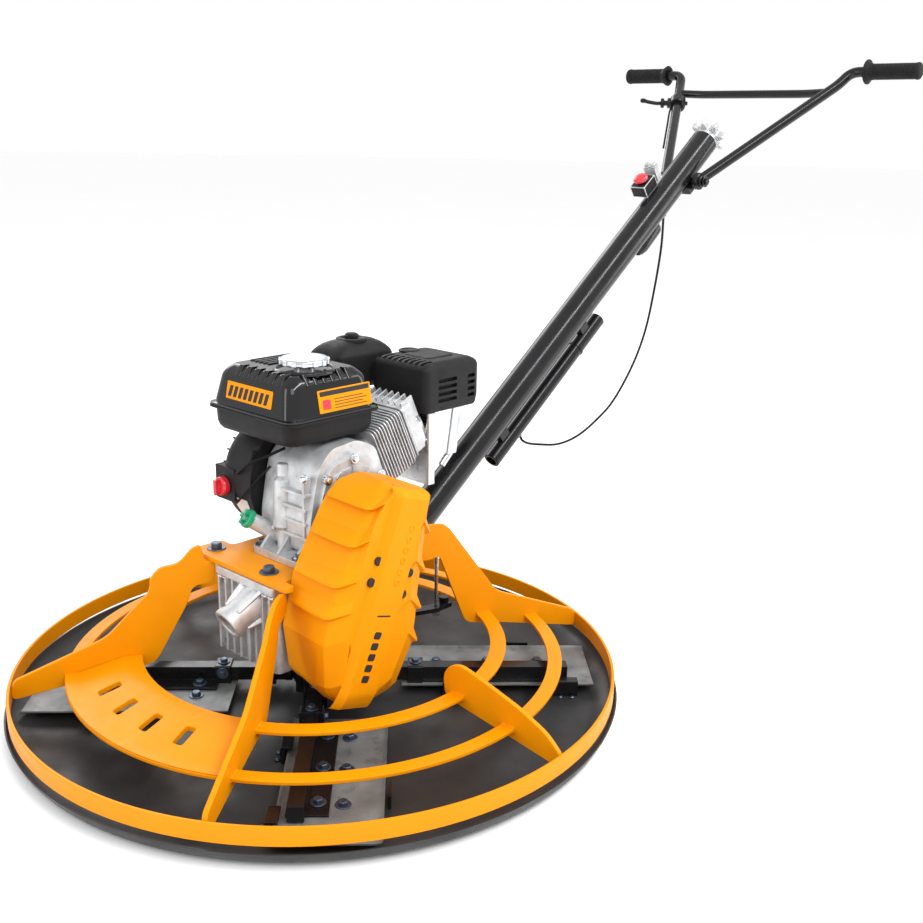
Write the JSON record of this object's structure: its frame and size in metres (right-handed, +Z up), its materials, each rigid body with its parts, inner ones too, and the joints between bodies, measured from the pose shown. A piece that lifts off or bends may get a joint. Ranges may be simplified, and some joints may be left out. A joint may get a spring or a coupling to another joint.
{
  "type": "power trowel",
  "caption": "Walk-behind petrol power trowel with ring guard, float pan, pitched blade arms, belt-driven gearbox and a folding steering handle",
  "frame": {"origin": "on the rotor axis at the underside of the float pan, where the machine stands on the slab", "axes": "+Z up along the rotor axis, +X towards the operator along the steering handle, -Y the side of the belt cover"},
  "size_m": [1.886, 1.012, 1.092],
  "materials": {
    "orange_paint": "gloss",
    "bolt_steel": "zinc plated",
    "pan_steel": "satin",
    "black_paint": "gloss",
    "blade_steel": "satin",
    "bronze": "machined",
    "cast_aluminium": "cast",
    "bright_steel": "polished",
    "rubber": "matte",
    "orange_plastic": "moulded",
    "black_plastic": "moulded",
    "gloss_black": "high gloss",
    "red_plastic": "moulded",
    "green_plastic": "moulded"
  },
  "bodies": {
    "machine": {"guard_band": "orange_paint", "middle_ring": "orange_paint", "inner_ring": "orange_paint", "leg_front_left": "orange_paint", "leg_front_right": "orange_paint", "leg_rear_left": "orange_paint", "leg_rear_right": "orange_paint", "strut_left": "orange_paint", "strut_right": "orange_paint", "front_panel": "orange_paint", "frame_plate": "orange_paint", "frame_bolt_left": "bolt_steel", "frame_bolt_right": "bolt_steel", "handle_tube": "black_paint", "lifting_tube": "black_paint", "gearbox_housing": "cast_aluminium", "gearbox_socket": "cast_aluminium", "crankcase": "cast_aluminium", "cylinder": "cast_aluminium", "muffler": "cast_aluminium", "carburettor": "cast_aluminium", "stop_switch_base": "cast_aluminium", "valve_cover": "bright_steel", "v_belt": "rubber", "throttle_cable": "rubber", "belt_cover": "orange_plastic", "fan_housing": "black_plastic", "tank_lower": "black_plastic", "muffler_guard": "black_plastic", "air_cleaner_cover": "black_plastic", "tank_upper": "gloss_black"},
    "rotor": {"float_pan": "pan_steel", "spider_hub": "black_paint", "output_shaft": "bronze"},
    "arm_set_1": {"arm_1": "black_paint", "blade_1": "blade_steel"},
    "arm_set_2": {"arm_2": "black_paint", "blade_2": "blade_steel"},
    "arm_set_3": {"arm_3": "black_paint", "blade_3": "blade_steel"},
    "arm_set_4": {"arm_4": "black_paint", "blade_4": "blade_steel"},
    "input": {"input_shaft": "bright_steel", "driven_pulley": "cast_aluminium"},
    "drum": {"clutch_drum": "bright_steel"},
    "crank": {"crankshaft": "bright_steel"},
    "plate": {"pitch_plate": "cast_aluminium"},
    "yoke": {"pitch_yoke": "black_paint"},
    "link": {"pitch_link": "bright_steel"},
    "knob": {"pitch_knob": "cast_aluminium"},
    "bar": {"handlebar": "black_paint", "grip_left": "rubber", "grip_right": "rubber"},
    "lever": {"throttle_lever": "black_paint"},
    "button": {"stop_button": "red_plastic"},
    "switch": {"ignition_switch": "red_plastic"},
    "cap": {"fuel_cap": "bright_steel"},
    "oil_plug": {"dipstick": "green_plastic"},
    "wing_nut": {"air_cleaner_knob": "black_plastic"},
    "starter": {"starter_grip": "rubber"}
  },
  "joints": [
    {"name": "rotor_spin", "type": "hinge", "parent": "machine", "child": "rotor", "pos_m": [0, 0, 0.1], "axis": [0, 0, 1], "continuous": true},
    {"name": "arm_1_pitch", "type": "hinge", "parent": "rotor", "child": "arm_set_1", "pos_m": [0, 0, 0.032], "axis": [0.7071, 0.7071, 0], "range_deg": [0, 8.01]},
    {"name": "arm_2_pitch", "type": "hinge", "parent": "rotor", "child": "arm_set_2", "pos_m": [0, 0, 0.032], "axis": [-0.7071, 0.7071, 0], "range_deg": [0, 8.01]},
    {"name": "arm_3_pitch", "type": "hinge", "parent": "rotor", "child": "arm_set_3", "pos_m": [0, 0, 0.032], "axis": [-0.7071, -0.7071, 0], "range_deg": [0, 8.01]},
    {"name": "arm_4_pitch", "type": "hinge", "parent": "rotor", "child": "arm_set_4", "pos_m": [0, 0, 0.032], "axis": [0.7071, -0.7071, 0], "range_deg": [0, 8.01]},
    {"name": "input_spin", "type": "hinge", "parent": "machine", "child": "input", "pos_m": [-0.052, 0, 0.14], "axis": [0, 1, 0], "continuous": true},
    {"name": "drum_spin", "type": "hinge", "parent": "machine", "child": "drum", "pos_m": [0.016, -0.128, 0.363], "axis": [0, 1, 0], "continuous": true},
    {"name": "crank_spin", "type": "hinge", "parent": "machine", "child": "crank", "pos_m": [0.016, 0, 0.363], "axis": [0, 1, 0], "continuous": true},
    {"name": "pitch_turn", "type": "hinge", "parent": "machine", "child": "knob", "pos_m": [1.1224, 0, 0.913], "axis": [0.8007, 0, 0.599], "range_deg": [0, 1800]},
    {"name": "plate_slide", "type": "slide", "parent": "machine", "child": "plate", "axis": [0, 0, -1], "range_m": [0, 0.00421]},
    {"name": "yoke_rock", "type": "hinge", "parent": "machine", "child": "yoke", "pos_m": [0.104, 0, 0.084], "axis": [0, -1, 0], "range_deg": [0, 2.32]},
    {"name": "link_lift", "type": "slide", "parent": "machine", "child": "link", "axis": [0, 0, 1], "range_m": [0, 0.00566]},
    {"name": "bar_tilt", "type": "hinge", "parent": "machine", "child": "bar", "pos_m": [1.041, 0, 0.832], "axis": [0, 1, 0], "range_deg": [-15, 15]},
    {"name": "throttle_turn", "type": "hinge", "parent": "bar", "child": "lever", "pos_m": [1.26556, 0.18568, 0.9992], "axis": [-0.4841, 0.875, 0], "range_deg": [0, 60]},
    {"name": "stop_press", "type": "slide", "parent": "machine", "child": "button", "axis": [0.599, 0, -0.8007], "range_m": [0, 0.0035], "stiffness_N_per_m": 300, "springref_m": -0.002},
    {"name": "ignition_turn", "type": "hinge", "parent": "machine", "child": "switch", "pos_m": [-0.0826, 0.138, 0.352], "axis": [-1, 0, 0], "range_deg": [0, 60]},
    {"name": "fuel_cap_twist", "type": "hinge", "parent": "machine", "child": "cap", "pos_m": [-0.01, 0.014, 0.566], "axis": [0, 0, 1], "range_deg": [0, 180]},
    {"name": "dipstick_twist", "type": "hinge", "parent": "machine", "child": "oil_plug", "pos_m": [-0.09, 0.06, 0.312], "axis": [-0.7732, 0.3007, 0.5584], "range_deg": [0, 360]},
    {"name": "wing_nut_turn", "type": "hinge", "parent": "machine", "child": "wing_nut", "pos_m": [0.196, 0.132, 0.57], "axis": [0, 0, 1], "range_deg": [0, 360]},
    {"name": "starter_pull", "type": "slide", "parent": "machine", "child": "starter", "axis": [1, 0, 0], "range_m": [0, 0.06], "stiffness_N_per_m": 60, "springref_m": -0.05}
  ],
  "couplings": [
    {"joint": "arm_1_pitch", "follows": "pitch_turn", "ratio": 0.0044444},
    {"joint": "arm_2_pitch", "follows": "pitch_turn", "ratio": 0.0044444},
    {"joint": "arm_3_pitch", "follows": "pitch_turn", "ratio": 0.0044444},
    {"joint": "arm_4_pitch", "follows": "pitch_turn", "ratio": 0.0044444},
    {"joint": "plate_slide", "follows": "pitch_turn", "m_per_rad": 0.00013369},
    {"joint": "yoke_rock", "follows": "pitch_turn", "ratio": 0.0012855},
    {"joint": "link_lift", "follows": "pitch_turn", "m_per_rad": 0.00017985},
    {"joint": "input_spin", "follows": "rotor_spin", "ratio": 25},
    {"joint": "drum_spin", "follows": "rotor_spin", "ratio": 43.548}
  ]
}
